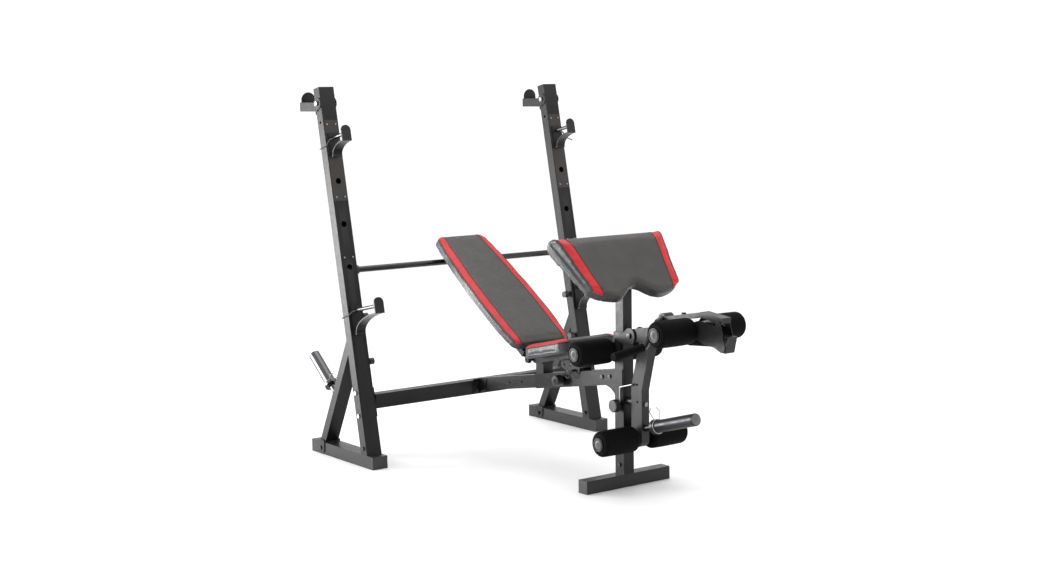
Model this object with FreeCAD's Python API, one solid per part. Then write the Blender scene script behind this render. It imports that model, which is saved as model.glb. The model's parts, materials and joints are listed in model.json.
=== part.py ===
import FreeCAD, Part
import math
import os

# Olympic bench press with a leaning two-post rack, an adjustable bench, a preacher
# pad and a six-roll leg developer. Millimetres. X runs from the rack to the leg
# developer, Y across the rack, Z up from the floor.

V = FreeCAD.Vector
os.makedirs("parts", exist_ok=True)

# ---- driving dimensions ------------------------------------------------------
ORIGIN_X = 461.02         # middle of the footprint, measured from the rack feet's front ends

WALL = 2.0                # wall of most tubes
UPRIGHT_HALF = 584.5      # half the distance between the upright centres
UPRIGHT_W = 71.0          # upright and foot width, across
UPRIGHT_D = 44.5          # upright depth, front to back
LEAN = math.radians(11.7)
UPRIGHT_X = -43.0         # front face of the upright where it meets the foot
UPRIGHT_LEN = 1532.0      # along the front face, foot to top
FOOT_LEN = 497.0
FOOT_H = 52.0
HOLE_PITCH = 180.0        # hook holes in the front face
HOLE_TOP = 1319.0         # topmost hook hole, measured up the front face
HOLE_COUNT = 5
HOLE_R = 12.6
HOOK_LEVELS = {           # hole, reach of the arm, depth of the hook, sag of the keeper wire
    "upper": (HOLE_TOP, 109.0, 75.0, 48.0),
    "lower": (HOLE_TOP - 4 * HOLE_PITCH, 187.0, 95.0, 27.0),
}
ROD_R = 8.0               # rod the barbell lies on
TAIL_R = 12.0             # its thick tail inside the upright

CROSS_Z = 264.0           # centre height of the crossbeam
CROSS_H = 60.0
CROSS_D = 48.0
CROSS_FRONT = -84.0       # front face of the crossbeam
BAR_LEVEL = 768.0         # support bar, measured up the front face
BAR_R = 12.7

BEAM_TAN = 0.167          # rise of the bench beam
BEAM_REF = (532.0, 377.2)  # a point on the beam's centre line
BEAM_H = 60.0
BEAM_W = 50.8
BEAM_START = 318.0        # where the sliding outer beam begins
BEAM_PIN_X = 503.0        # pull pin that locks the sliding beam
POST_X = 854.0            # centre of the front post and its foot
POST_W = 50.8
POST_TOP = 606.0
FRONT_FOOT_HALF = 209.5

HINGE = (340.0, 440.0)    # axle of backrest and seat
PAD_T = 38.0              # backrest thickness
BACK_FRAME = 25.0
BACK_SIDE = ((33.0, 136.0), (120.0, 149.0), (300.0, 155.0), (480.0, 149.0), (640.0, 138.0),
             (754.0, 122.0))   # distance up the backrest and half its width there
SEAT_ANGLE = math.radians(12.3)
SEAT_T = 53.0
SEAT_HALF = 146.0
SEAT_SPAN = (56.0, 328.0)
REST_GAP = 0.3            # clearance between parts that only rest on each other

CURL_W = 44.5             # telescoping curl post
CURL_BOTTOM = 190.0
CURL_PIN_Z = 320.0        # pull pin of the curl post
PREACHER_TOP = (765.0, 968.0)
PREACHER_DIR = (0.692, -0.722)
PREACHER_T = 39.5         # arm pad thickness at its lower end
PREACHER_TAPER = 0.1188   # its underside deepens by this much per unit toward the top edge
ROLL_EDGE = (24.0, -30.0)  # centre of the thick rolled top edge
ROLL_EDGE_R = 42.0

PIVOT = (920.0, 597.0)    # leg lever pivot
ARM_END = (1298.0, 660.0)
ARM_W = 45.0
KNEE_AXIS = (808.0, 530.0)
FOAM_R = 50.0
THIGH_AXIS = (1269.0, 656.0)
ANKLE_AXIS = (950.0, 206.0)
ROLL_TUBE_R = 12.7
ROLL_FIT = 0.06
ROLL_INNER = 36.0         # near end of a foam roll, from the centre plane
ROLL_OUTER = 207.0        # far end
LEVER_W = 38.0
LEVER_D = 60.0
SLEEVE_TILT = math.radians(15.5)
SLEEVE_BASE = (978.0, 244.0)
OLYMPIC_R = 24.0          # weight sleeves for 50 mm plates


# ---- helpers -----------------------------------------------------------------
def block(x0, x1, y0, y1, z0, z1):
    """Axis-aligned box between two corners."""
    return Part.makeBox(x1 - x0, y1 - y0, z1 - z0, V(x0, y0, z0))


def rod(p, q, radius):
    """Round bar from p to q."""
    a, b = V(*p), V(*q)
    return Part.makeCylinder(radius, (b - a).Length, a, b - a)


def wire_form(points, radius):
    """Bent round wire: straight runs with ball-shaped corners."""
    runs = [rod(p, q, radius) for p, q in zip(points, points[1:])]
    balls = [Part.makeSphere(radius, V(*p)) for p in points[1:-1]]
    return runs[0].multiFuse(runs[1:] + balls).removeSplitter()


def bar_xz(p, q, width, depth, wall=0.0, y=0.0):
    """Straight rectangular bar or tube in an XZ plane, from p to q, centred on y."""
    dx, dz = q[0] - p[0], q[1] - p[1]
    length = math.hypot(dx, dz)
    body = Part.makeBox(length, width, depth, V(0, -width / 2, -depth / 2))
    if wall:
        inner = Part.makeBox(length + 2, width - 2 * wall, depth - 2 * wall,
                             V(-1, wall - width / 2, wall - depth / 2))
        body = body.cut(inner)
    body.rotate(V(0, 0, 0), V(0, 1, 0), -math.degrees(math.atan2(dz, dx)))
    body.translate(V(p[0], y, p[1]))
    return body


def plate_xz(points, y0, y1):
    """Flat plate with a polygon outline in the XZ plane, between two Y values."""
    corners = [V(x, y0, z) for x, z in points]
    face = Part.Face(Part.makePolygon(corners + corners[:1]))
    return face.extrude(V(0, y1 - y0, 0))


def fuse(*shapes):
    """One solid out of touching pieces."""
    return shapes[0].multiFuse(list(shapes[1:])).removeSplitter()


def group(shapes):
    """Separate solids kept together in one node."""
    return Part.makeCompound(shapes)


def bolt(x, z, y_head, y_nut, radius=5.0):
    """Cross bolt along Y: shank, domed head at y_head and nut at y_nut."""
    side = 1 if y_head > y_nut else -1
    shank = rod((x, y_nut - side * 9, z), (x, y_head, z), radius)
    head = rod((x, y_head, z), (x, y_head + side * 5, z), radius * 1.8)
    nut = rod((x, y_nut - side * 7, z), (x, y_nut, z), radius * 1.7)
    return fuse(shank, head, nut)


def local_frame(origin, angle):
    """Point maker for a sloping member: distances along it and square to it."""
    ca, sa = math.cos(angle), math.sin(angle)

    def place(along, square):
        return (origin[0] + along * ca - square * sa, origin[1] + along * sa + square * ca)
    return place


def on_upright(s, out=0.0):
    """XZ point at distance s up the upright's front face, out in front of it."""
    return (UPRIGHT_X - s * math.sin(LEAN) + out * math.cos(LEAN),
            FOOT_H + s * math.cos(LEAN) + out * math.sin(LEAN))


def beam_z(x, square=0.0):
    """Height of the bench beam's centre line at x, or of a line parallel to it."""
    return BEAM_REF[1] + BEAM_TAN * (x - BEAM_REF[0]) + square * math.hypot(1, BEAM_TAN)


# ---- rack --------------------------------------------------------------------
def upright(side):
    """Leaning post with its front hook holes and its side holes."""
    y = side * UPRIGHT_HALF
    low = on_upright(-20, -UPRIGHT_D / 2)
    high = on_upright(UPRIGHT_LEN, -UPRIGHT_D / 2)
    tube = bar_xz(low, high, UPRIGHT_W, UPRIGHT_D, WALL, y)
    tube = tube.cut(block(-200, 100, y - 60, y + 60, -50, FOOT_H))
    for i in range(HOLE_COUNT):
        s = HOLE_TOP - i * HOLE_PITCH
        a, b = on_upright(s, -UPRIGHT_D / 2), on_upright(s, 5)
        tube = tube.cut(rod((a[0], y, a[1]), (b[0], y, b[1]), HOLE_R))
    for s, radius in ((1469, 6.05), (1389, 6.05), (BAR_LEVEL, BAR_R + 0.05)):
        x, z = on_upright(s, -UPRIGHT_D / 2)
        near, far = (y - 60, y + 60) if s > 1000 else (y - side * 60, y)
        tube = tube.cut(rod((x, near, z), (x, far, z), radius))
    return tube


def rack_foot(side):
    """Floor tube with the spigot that the upright is bolted on."""
    y = side * UPRIGHT_HALF
    tube = bar_xz((-FOOT_LEN + 3, FOOT_H / 2), (-3, FOOT_H / 2), UPRIGHT_W, FOOT_H, WALL, y)
    low, high = on_upright(-6, -UPRIGHT_D / 2), on_upright(62, -UPRIGHT_D / 2)
    inset = 2 * WALL + 0.4
    spigot = bar_xz(low, high, UPRIGHT_W - inset, UPRIGHT_D - inset, 3, y)
    spigot = spigot.cut(block(-200, 100, y - 60, y + 60, 0, FOOT_H - 0.5))
    return fuse(tube, spigot)


def strut_bar(y, wall=0.0):
    """Full-length bar of the back strut, solid unless a wall is given."""
    return bar_xz((-420, 33), (-160, 532), 63, 38, wall, y)


def rear_leg(side):
    """Back strut of the A-frame, with the bracket that straddles the foot."""
    y = side * UPRIGHT_HALF
    strut = strut_bar(y, WALL)
    strut = strut.cut(block(-600, 0, y - 60, y + 60, -50, FOOT_H + 0.2))
    top = on_upright(1532, -UPRIGHT_D - 0.2)
    low = on_upright(0, -UPRIGHT_D - 0.2)
    behind = plate_xz([low, top, (200, 1700), (200, 0)], y - 60, y + 60)
    strut = strut.cut(behind)
    ears = []
    for edge in (-1, 1):
        inner = y + edge * (UPRIGHT_W / 2 + 0.2)
        outer = inner + edge * 4
        y0, y1 = min(inner, outer), max(inner, outer)
        ear = block(-441, -386, y0, y1, 26, FOOT_H + 8)
        ear = fuse(ear, Part.makeCylinder(27.4, 4, V(-413.5, y0, 27), V(0, 1, 0)).common(
            block(-460, -370, y0 - 1, y1 + 1, 8, 40)))
        ears.append(ear)
    saddle = block(-441, -386, y - 39.7, y + 39.7, FOOT_H + 0.2, FOOT_H + 5)
    return fuse(strut, saddle, *ears)


def crossbeam():
    """Low beam between the uprights, with a bolting plate welded on each end."""
    inner = UPRIGHT_HALF - UPRIGHT_W / 2
    z0, z1 = CROSS_Z - CROSS_H / 2, CROSS_Z + CROSS_H / 2
    back = CROSS_FRONT - CROSS_D
    body = block(back, CROSS_FRONT, -inner + 4, inner - 4, z0, z1)
    body = body.cut(block(back + WALL, CROSS_FRONT - WALL, -inner, inner, z0 + WALL, z1 - WALL))
    plates = []
    low, high = 154.0, 276.0
    edge = [on_upright(low, 0), on_upright(high, 0), on_upright(high, -UPRIGHT_D), on_upright(low, -UPRIGHT_D)]
    for side in (-1, 1):
        y0, y1 = sorted((side * inner, side * (inner - 4)))
        plates.append(plate_xz(edge, y0, y1))
    return fuse(body, *plates)


def crossbeam_bolt_points():
    """Centres of the two bolts at each end of the crossbeam."""
    return [on_upright(s, -UPRIGHT_D / 2) for s in (166.0, 261.0)]


def rack_bolts():
    """Every bolt of the rack, as separate solids, and the wear plates' screws."""
    outer, inner = UPRIGHT_HALF + UPRIGHT_W / 2, UPRIGHT_HALF - UPRIGHT_W / 2
    solids = []
    for side in (-1, 1):
        for x, z in crossbeam_bolt_points():
            solids.append(bolt(x, z, side * outer, side * (inner - 4)))
        x, z = on_upright(31, -UPRIGHT_D / 2)
        solids.append(bolt(x, z, side * outer, side * inner))
        solids.append(bolt(-415, 26, side * (outer + 4.2), side * (inner - 4.2)))
        for s in (1377, 1072, 820):
            for dy in (-20, 20):
                a, b = on_upright(s, -1.5), on_upright(s, 4.5)
                y = side * UPRIGHT_HALF + dy
                solids.append(rod((a[0], y, a[1]), (b[0], y, b[1]), 3.5))
    return group(solids)


def wear_plate(side):
    """Thin guard on the upright's face behind the upper hook, drilled like the upright."""
    y = side * UPRIGHT_HALF
    plate = plate_xz([on_upright(1056, 0), on_upright(1395, 0), on_upright(1395, 1.2),
                      on_upright(1056, 1.2)], y - 32, y + 32)
    for s in (HOLE_TOP, HOLE_TOP - HOLE_PITCH):
        a, b = on_upright(s, -5), on_upright(s, 5)
        plate = plate.cut(rod((a[0], y, a[1]), (b[0], y, b[1]), HOLE_R))
    for s in (1377, 1072):
        for dy in (-20, 20):
            a, b = on_upright(s, -3), on_upright(s, 5)
            plate = plate.cut(rod((a[0], y + dy, a[1]), (b[0], y + dy, b[1]), 3.5))
    return plate


def rack_plugs():
    """Plastic plugs in the open tube ends and the bushes round the support bar."""
    solids = []
    for side in (-1, 1):
        y = side * UPRIGHT_HALF
        for x0, x1 in ((-3, 0), (-FOOT_LEN, -FOOT_LEN + 3)):
            solids.append(block(x0, x1, y - 35.5, y + 35.5, 0, FOOT_H))
        a, b = on_upright(UPRIGHT_LEN, -UPRIGHT_D / 2), on_upright(UPRIGHT_LEN + 3, -UPRIGHT_D / 2)
        solids.append(bar_xz(a, b, UPRIGHT_W, UPRIGHT_D, 0, y))
        x, z = on_upright(BAR_LEVEL, -UPRIGHT_D / 2)
        inner = side * (UPRIGHT_HALF - UPRIGHT_W / 2)
        ring = rod((x, inner, z), (x, inner - side * 14, z), 19)
        solids.append(ring.cut(rod((x, inner, z), (x, inner - side * 14, z), BAR_R + 0.05)))
    return group(solids)


def support_bar():
    """Round bar that carries the backrest, run through the uprights' inner walls."""
    x, z = on_upright(BAR_LEVEL, -UPRIGHT_D / 2)
    reach = UPRIGHT_HALF + 10
    return rod((x, -reach, z), (x, reach, z), BAR_R)


def rack_knobs():
    """Clamping knobs on the inner faces of the uprights."""
    inner = UPRIGHT_HALF - UPRIGHT_W / 2
    solids = []
    for side in (-1, 1):
        for s in (384.0, 572.0):
            x, z = on_upright(s, -UPRIGHT_D / 2)
            neck = rod((x, side * inner, z), (x, side * (inner - 10), z), 6)
            grip = rod((x, side * (inner - 10), z), (x, side * (inner - 30), z), 14)
            solids.append(fuse(neck, grip))
    return group(solids)


PEG_BASE = (-306.0, 246.0)
PEG_ANGLE = math.radians(180 - 38)
PEG_SPAN = (92.0, 268.0)  # the sleeve of the peg, along its axis
CLIP_NECK = 12.0          # slightly thinner length beside the stop, where a clip is parked
NECK_R = 23.4


def plate_peg(side):
    """Storage peg on the back strut: a thin stub, a stop collar and the sleeve."""
    y = side * UPRIGHT_HALF
    place = local_frame(PEG_BASE, PEG_ANGLE)

    def piece(t0, t1, radius):
        a, b = place(t0, 0), place(t1, 0)
        return rod((a[0], y, a[1]), (b[0], y, b[1]), radius)
    start, end = PEG_SPAN
    peg = fuse(piece(0, start, 15), piece(start - 8, start, 31), piece(start, start + CLIP_NECK, NECK_R),
               piece(start + CLIP_NECK, end, OLYMPIC_R))
    return peg.cut(strut_bar(y))


def spring_clip(centre, angle, y):
    """Open wire ring round a weight sleeve, with two finger levers standing up."""
    place = local_frame(centre, angle)
    ring_r = OLYMPIC_R + 2.6
    axis = V(math.cos(angle), 0, math.sin(angle))
    a = place(0, 0)
    ring = Part.makeTorus(ring_r, 2.4, V(a[0], y, a[1]), axis)
    levers = []
    lift = 1 if math.cos(angle) > 0 else -1
    for dy, tip in ((-13, -24), (13, 24)):
        root_h = lift * math.sqrt(ring_r ** 2 - 13 ** 2)
        p0 = place(0, root_h)
        p1 = place(-6, lift * 58)
        p2 = place(-8, lift * 72)
        levers.append(wire_form([(p0[0], y + dy, p0[1]), (p1[0], y + tip, p1[1]),
                                 (p2[0], y + tip * 0.6, p2[1])], 1.8))
    return fuse(ring, *levers)


def peg_clip(side):
    place = local_frame(PEG_BASE, PEG_ANGLE)
    return spring_clip(place(PEG_SPAN[0] + CLIP_NECK / 2, 0), PEG_ANGLE, side * UPRIGHT_HALF)


def inner_beam():
    """Drilled tube fixed to the crossbeam, on which the bench slides."""
    start, end = CROSS_FRONT + 1, 620.0
    tube = bar_xz((start, beam_z(start)), (end, beam_z(end)), 45.0, 54.0, 2.5)
    tube = tube.cut(block(start - 40, CROSS_FRONT, -60, 60, 200, 400))
    for x in (137, 222, BEAM_PIN_X, BEAM_PIN_X + 83.8):
        z = beam_z(x)
        tube = tube.cut(rod((x, -40, z), (x, 40, z), 5.2))
    flange = block(CROSS_FRONT, CROSS_FRONT + 4, -58, 58, 236, 300)
    cheeks = []
    outline = [(CROSS_FRONT, 238), (-30, 262), (-30, 302), (CROSS_FRONT, 302)]
    for y0, y1 in ((-26.5, -22.5), (22.5, 26.5)):
        cheeks.append(plate_xz(outline, y0, y1))
    studs = []
    for y in (-44, 44):
        for z in (250, 280):
            studs.append(rod((CROSS_FRONT, y, z), (CROSS_FRONT + 10, y, z), 7))
    return fuse(tube, flange, *cheeks, *studs)


# ---- bar hooks ---------------------------------------------------------------
STRAP_W = 44.0
STRAP_T = 5.0


def hook_strap(side, level):
    """Bent flat bar: back plate, return at the bottom, curved arm and round-topped tab."""
    y = side * UPRIGHT_HALF
    s0, reach, drop, _ = HOOK_LEVELS[level]
    face = 1.2 + REST_GAP
    rise = drop - 27.0
    start = 18.0

    def at(out, up):
        p = on_upright(s0 + up, out)
        return V(p[0], y - STRAP_W / 2, p[1])

    def quarter(cut_in):
        points = []
        for i in range(13):
            t = i / 12 * math.pi / 2
            points.append(at(reach - (reach - start - cut_in) * math.cos(t),
                             -drop + (rise - cut_in) * math.sin(t)))
        return points
    outer, inner = quarter(0), quarter(STRAP_T)
    upper, lower = Part.BSplineCurve(), Part.BSplineCurve()
    upper.interpolate(outer)
    lower.interpolate(inner)
    edges = [upper.toShape(), Part.makeLine(outer[-1], inner[-1]), lower.toShape(),
             Part.makeLine(inner[0], outer[0])]
    arm = Part.Face(Part.Wire(Part.__sortEdges__(edges))).extrude(V(0, STRAP_W, 0))

    def slab(o0, o1, u0, u1):
        corners = [at(o0, u0), at(o1, u0), at(o1, u1), at(o0, u1)]
        return Part.Face(Part.makePolygon(corners + corners[:1])).extrude(V(0, STRAP_W, 0))
    back = slab(face, face + STRAP_T, -drop - 5, 22)
    turn = slab(face, start + STRAP_T, -drop - 5, -drop)
    tab = slab(reach - 1, reach + 5, rise - drop - STRAP_T, 12)
    lower_point = at(reach - 1, 12)
    axis = V(math.cos(LEAN), 0, math.sin(LEAN))
    crown = Part.makeCylinder(STRAP_W / 2, 6, V(lower_point.x, y, lower_point.z), axis)
    strap = fuse(back, turn, arm, tab, crown)
    a, b = on_upright(s0, -5), on_upright(s0, 20)
    return strap.cut(rod((a[0], y, a[1]), (b[0], y, b[1]), ROD_R))


def hook_rod(side, level):
    """Bright rod the barbell lies on, tailed into the upright, with its keeper wire."""
    y = side * UPRIGHT_HALF
    s0, reach, _, sag = HOOK_LEVELS[level]

    def piece(start, end, radius):
        a, b = on_upright(s0, start), on_upright(s0, end)
        return rod((a[0], y, a[1]), (b[0], y, b[1]), radius)
    path = []
    for dy, out, share in ((-6, 17, 0.0), (26, 17, 0.2), (45, 14, 0.75), (76, 14, 1.0)):
        p = on_upright(s0 - sag * share, out)
        path.append((p[0], y + side * dy, p[1]))
    return fuse(piece(-38, 1.4, TAIL_R), piece(0, reach - 1, ROD_R), wire_form(path, 2.5))


REAR_PIN = on_upright(1469, -UPRIGHT_D / 2)
REAR_TIP = -507.0


def rear_hook(side):
    """U-shaped catch behind the upright's top, hung on a cross pin."""
    y = side * UPRIGHT_HALF
    px, pz = REAR_PIN
    gap = UPRIGHT_W / 2 + 0.5
    arms = []
    for edge in (-1, 1):
        y0, y1 = sorted((y + edge * gap, y + edge * (gap + 4)))
        arm = block(REAR_TIP, px, y0, y1, pz - 33, pz + 4.5)
        eye = Part.makeCylinder(25, 4, V(px, y0, pz), V(0, 1, 0))
        arms.append(fuse(arm, eye).cut(rod((px, y0 - 1, pz), (px, y1 + 1, pz), 6.05)))
    end = block(REAR_TIP, REAR_TIP + 4, y - gap - 1, y + gap + 1, pz - 33, pz + 4.5)
    crown = block(REAR_TIP, REAR_TIP + 4, y - 33, y + 33, pz, pz + 14)
    dome = Part.makeCylinder(33, 4, V(REAR_TIP, y, pz + 14), V(1, 0, 0))
    dome = dome.common(block(REAR_TIP - 1, REAR_TIP + 5, y - 40, y + 40, pz + 14, pz + 60))
    face = UPRIGHT_D / 2 + REST_GAP
    web_points = [on_upright(1469 - 42, -face - UPRIGHT_D / 2), on_upright(1469 - 22, -face - UPRIGHT_D / 2),
                  on_upright(1469 - 22, -face - UPRIGHT_D / 2 - 4), on_upright(1469 - 42, -face - UPRIGHT_D / 2 - 4)]
    web = plate_xz(web_points, y - gap - 1, y + gap + 1)
    return fuse(*arms, end, crown, dome, web)


def rear_hook_pins():
    """The two cross pins, each with a head outside and a plain tail inside."""
    px, pz = REAR_PIN
    solids = []
    for side in (-1, 1):
        y = side * UPRIGHT_HALF
        reach = UPRIGHT_W / 2 + 5
        shank = rod((px, y - reach, pz), (px, y + reach + 6, pz), 6)
        head = rod((px, y - reach - 7, pz), (px, y - reach, pz), 10)
        solids.append(fuse(shank, head))
    return group(solids)


# ---- bench -------------------------------------------------------------------
def with_pin_bush(tube, x, z, wall_y):
    """Tube with a guide bush on its left face, drilled for a pull pin."""
    bush = rod((x, -wall_y, z), (x, -wall_y - 9, z), 10)
    return fuse(tube, bush).cut(rod((x, -wall_y - 10, z), (x, 0, z), 5.2))


def main_beam():
    """Outer beam of the bench, from the sliding end to the front post."""
    start, end = BEAM_START, POST_X - POST_W / 2
    tube = bar_xz((start, beam_z(start)), (end + 10, beam_z(end + 10)), BEAM_W, BEAM_H, 2.5)
    tube = tube.cut(block(end, end + 60, -60, 60, 300, 600))
    return with_pin_bush(tube, BEAM_PIN_X, beam_z(BEAM_PIN_X), BEAM_W / 2)


def seat_post():
    """Short upright on the beam that carries the axle of seat and backrest."""
    half = 25.0
    x, z = HINGE
    top = z - 2
    post = block(x - half + 8, x + half + 8, -24, 24, 350, top)
    post = post.cut(block(x - half + 10, x + half + 6, -22, 22, 340, top + 1))
    roof = plate_xz([(250, beam_z(250, 30)), (450, beam_z(450, 30)), (450, 300), (250, 300)], -60, 60)
    post = post.cut(roof)
    head = fuse(block(x - 17, x + half + 8, -27.5, 27.5, top - 20, top),
                Part.makeCylinder(17, 55, V(x, -27.5, z), V(0, 1, 0)))
    return fuse(post, head).cut(rod((x, -40, z), (x, 40, z), 8.0))


def front_post():
    """Square front leg that the curl post slides into."""
    half = POST_W / 2
    z0 = POST_W + 0.2
    post = block(POST_X - half, POST_X + half, -half, half, z0, POST_TOP)
    inner = half - WALL
    post = post.cut(block(POST_X - inner, POST_X + inner, -inner, inner, z0 - 1, POST_TOP + 1))
    return with_pin_bush(post, POST_X, CURL_PIN_Z, half)


def front_foot():
    """Cross tube on the floor under the front post, with its weld spigot."""
    half = POST_W / 2
    tube = block(POST_X - half, POST_X + half, -FRONT_FOOT_HALF + 3, FRONT_FOOT_HALF - 3, 0, POST_W)
    inner = half - WALL
    tube = tube.cut(block(POST_X - inner, POST_X + inner, -FRONT_FOOT_HALF, FRONT_FOOT_HALF,
                          WALL, POST_W - WALL))
    fit = inner - 0.2
    spigot = block(POST_X - fit, POST_X + fit, -fit, fit, POST_W - WALL, 110)
    return fuse(tube, spigot.cut(block(POST_X - 18, POST_X + 18, -18, 18, POST_W, 111)))


def post_plates():
    """Gusset plates at the beam's end and the clevis plates of the lever pivot."""
    half = POST_W / 2
    x0, x1 = 626.0, POST_X + half
    curve = [(836.0, 352.0), (826.0, 366.0), (806.0, 380.0), (780.0, 388.0), (745.0, 389.0)]
    gusset = [(x0, beam_z(x0, 29)), (x1 - 4, beam_z(x1 - 4, 27)), (x1 - 4, 338.0), (838.0, 338.0)]
    gusset += curve + [(x0 + 4, beam_z(x0 + 4, -29))]
    clevis = [(POST_X - half - 2, 604.0), (POST_X - half - 2, 590.0), (POST_X - 8, 566.0), (POST_X + 28, 563.0),
              (PIVOT[0] - 6, 567.6), (PIVOT[0] - 6, 626.4), (POST_X + 30, 606.0)]
    lug = [(793.0, 542.0), (793.0, 514.0), (832.0, 508.0), (860.0, 508.0), (860.0, 566.0), (832.0, 566.0)]
    solids = []
    for side in (-1, 1):
        y0, y1 = sorted((side * half, side * (half + 3)))
        solids.append(plate_xz(gusset, y0, y1))
        y0, y1 = sorted((side * half, side * (half + 4)))
        disc = Part.makeCylinder(30, 4, V(PIVOT[0], y0, PIVOT[1]), V(0, 1, 0))
        cheek = fuse(plate_xz(clevis, y0, y1), plate_xz(lug, y0, y1), disc)
        for (x, z), radius in ((PIVOT, 8.0), (KNEE_AXIS, ROLL_TUBE_R)):
            cheek = cheek.cut(rod((x, y0 - 1, z), (x, y1 + 1, z), radius))
        solids.append(cheek)
    return group(solids)


def bench_bolts():
    """Axle of seat and backrest, lever pivot, and the bolts of gussets and front foot."""
    solids = []
    for (x, z), reach, head_r in ((HINGE, 78.0, 13.0), (PIVOT, 30.0, 10.5)):
        shank = rod((x, -reach, z), (x, reach, z), 8.0)
        heads = [rod((x, s * reach, z), (x, s * (reach + 6), z), head_r) for s in (-1, 1)]
        solids.append(fuse(shank, *heads))
    for x in (755.0, 801.0):
        solids.append(bolt(x, beam_z(x, 4), -28.4, 28.4, 4.5))
    x, z = POST_X, 86.0
    solids.append(bolt(x, z, -POST_W / 2, POST_W / 2, 4.5))
    return group(solids)


def roll_tube(axis):
    """Cross tube that carries a pair of foam rolls."""
    x, z = axis
    tube = rod((x, -ROLL_OUTER, z), (x, ROLL_OUTER, z), ROLL_TUBE_R)
    return tube.cut(rod((x, -ROLL_OUTER - 1, z), (x, ROLL_OUTER + 1, z), ROLL_TUBE_R - 1.6))


def lever_roll_tubes():
    """The lever's two roll tubes and the head of the bolt that holds the bumper."""
    front = 948.5 + LEVER_D / 2
    head = rod((front, 0, BUMPER_Z), (front + 6, 0, BUMPER_Z), 9)
    return group([roll_tube(THIGH_AXIS), roll_tube(ANKLE_AXIS), head])


def roll_caps(axis):
    """Round plastic caps plugged into the two ends of a roll tube."""
    x, z = axis
    solids = []
    for side in (-1, 1):
        flange = rod((x, side * (ROLL_OUTER + 0.3), z), (x, side * (ROLL_OUTER + 5), z), 26)
        plug = rod((x, side * (ROLL_OUTER - 20), z), (x, side * (ROLL_OUTER + 1), z), ROLL_TUBE_R - 1.6)
        solids.append(fuse(flange, plug))
    return solids


def bench_caps():
    """End plugs of the front foot and the caps of the knee roll tube."""
    solids = roll_caps(KNEE_AXIS)
    half = POST_W / 2
    for side in (-1, 1):
        y0, y1 = sorted((side * (FRONT_FOOT_HALF - 3), side * FRONT_FOOT_HALF))
        solids.append(block(POST_X - half, POST_X + half, y0, y1, 0, POST_W))
    return group(solids)


def foam_roll(axis, side, radius):
    """Foam sleeve with rounded ends that turns on its tube."""
    x, z = axis
    body = rod((x, side * ROLL_INNER, z), (x, side * ROLL_OUTER, z), radius)
    rims = [e for e in body.Edges if isinstance(e.Curve, Part.Circle)]
    body = body.makeFillet(12, rims)
    return body.cut(rod((x, side * (ROLL_INNER - 1), z), (x, side * (ROLL_OUTER + 1), z),
                        ROLL_TUBE_R + ROLL_FIT))


def pull_pin(x, z, wall_y, gap, knob_r, knob_out):
    """Spring pin on the left face of a tube: shank, threaded neck and round knob."""
    tip = -(gap + REST_GAP)
    shank = rod((x, tip, z), (x, -wall_y - 12, z), 5.0)
    grip = rod((x, -wall_y - 10, z), (x, -knob_out, z), knob_r)
    grip = grip.makeFillet(4, [e for e in grip.Edges if isinstance(e.Curve, Part.Circle)])
    return fuse(shank, grip)


def lever_lock():
    """Bent wire catch on the gusset plate, its nose beside the leg lever."""
    y = -POST_W / 2 - 3 - 3
    nose_y = -LEVER_W / 2 - 0.5
    return wire_form([(864, y, 328), (866, y, 393), (936, y, 412), (936, nose_y, 412)], 3.0)


# ---- backrest and seat -------------------------------------------------------
FRAME_LIFT = 0.5          # underside of the backrest frame, above the axle's centre


def backrest_angle():
    """Direction of the backrest, so that its frame rests on the support bar."""
    x, z = on_upright(BAR_LEVEL, -UPRIGHT_D / 2)
    reach = math.hypot(HINGE[0] - x, z - HINGE[1])
    drop = BAR_R + REST_GAP - FRAME_LIFT
    return math.pi - math.atan2(z - HINGE[1], HINGE[0] - x) - math.asin(drop / reach)


BACK_ANGLE = backrest_angle()


def padded_board(side, low, high, corner, edge):
    """Cushion lying flat, Z between low and high; side holds (X, half width) points."""
    curve = Part.BSplineCurve()
    curve.interpolate([V(x, half, low) for x, half in side])
    right = curve.toShape()
    left = right.mirror(V(0, 0, 0), V(0, 1, 0))
    (x0, half0), (x1, half1) = side[0], side[-1]
    ends = [Part.makeLine(V(x, -half, low), V(x, half, low)) for x, half in ((x0, half0), (x1, half1))]
    outline = Part.Wire(Part.__sortEdges__([right, left] + ends))
    board = Part.Face(outline).extrude(V(0, 0, high - low))
    board = board.makeFillet(corner, [e for e in board.Edges if e.BoundBox.ZLength > 1])
    top = [e for e in board.Edges if e.BoundBox.ZMin > high - 0.01]
    return board.makeFillet(edge, top)


def tilt_back(shape):
    """Turn a flat-built part (X up the backrest) onto the backrest's line."""
    shape.rotate(V(0, 0, 0), V(0, 0, 1), 180)
    shape.rotate(V(0, 0, 0), V(0, 1, 0), 180 - math.degrees(BACK_ANGLE))
    shape.translate(V(HINGE[0], 0, HINGE[1]))
    return shape


def tilt_seat(shape):
    """Turn a flat-built part (X toward the seat's front) onto the seat's line."""
    shape.rotate(V(0, 0, 0), V(0, 1, 0), -math.degrees(SEAT_ANGLE))
    shape.translate(V(HINGE[0], 0, HINGE[1]))
    return shape


def hinge_lug(y0, y1, reach, height):
    """Flat-built ear round the common axle, reaching along X to the frame."""
    ear = block(0, reach, y0, y1, -height, height)
    return fuse(ear, Part.makeCylinder(16, y1 - y0, V(0, y0, 0), V(0, 1, 0)))


def axle_hole(shape):
    """Bore for the common axle through a flat-built part."""
    return shape.cut(rod((0, -200, 0), (0, 200, 0), 8.05))


def backrest_pad():
    low = FRAME_LIFT + BACK_FRAME
    return tilt_back(padded_board(BACK_SIDE, low, low + PAD_T, 36, 9))


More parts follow.
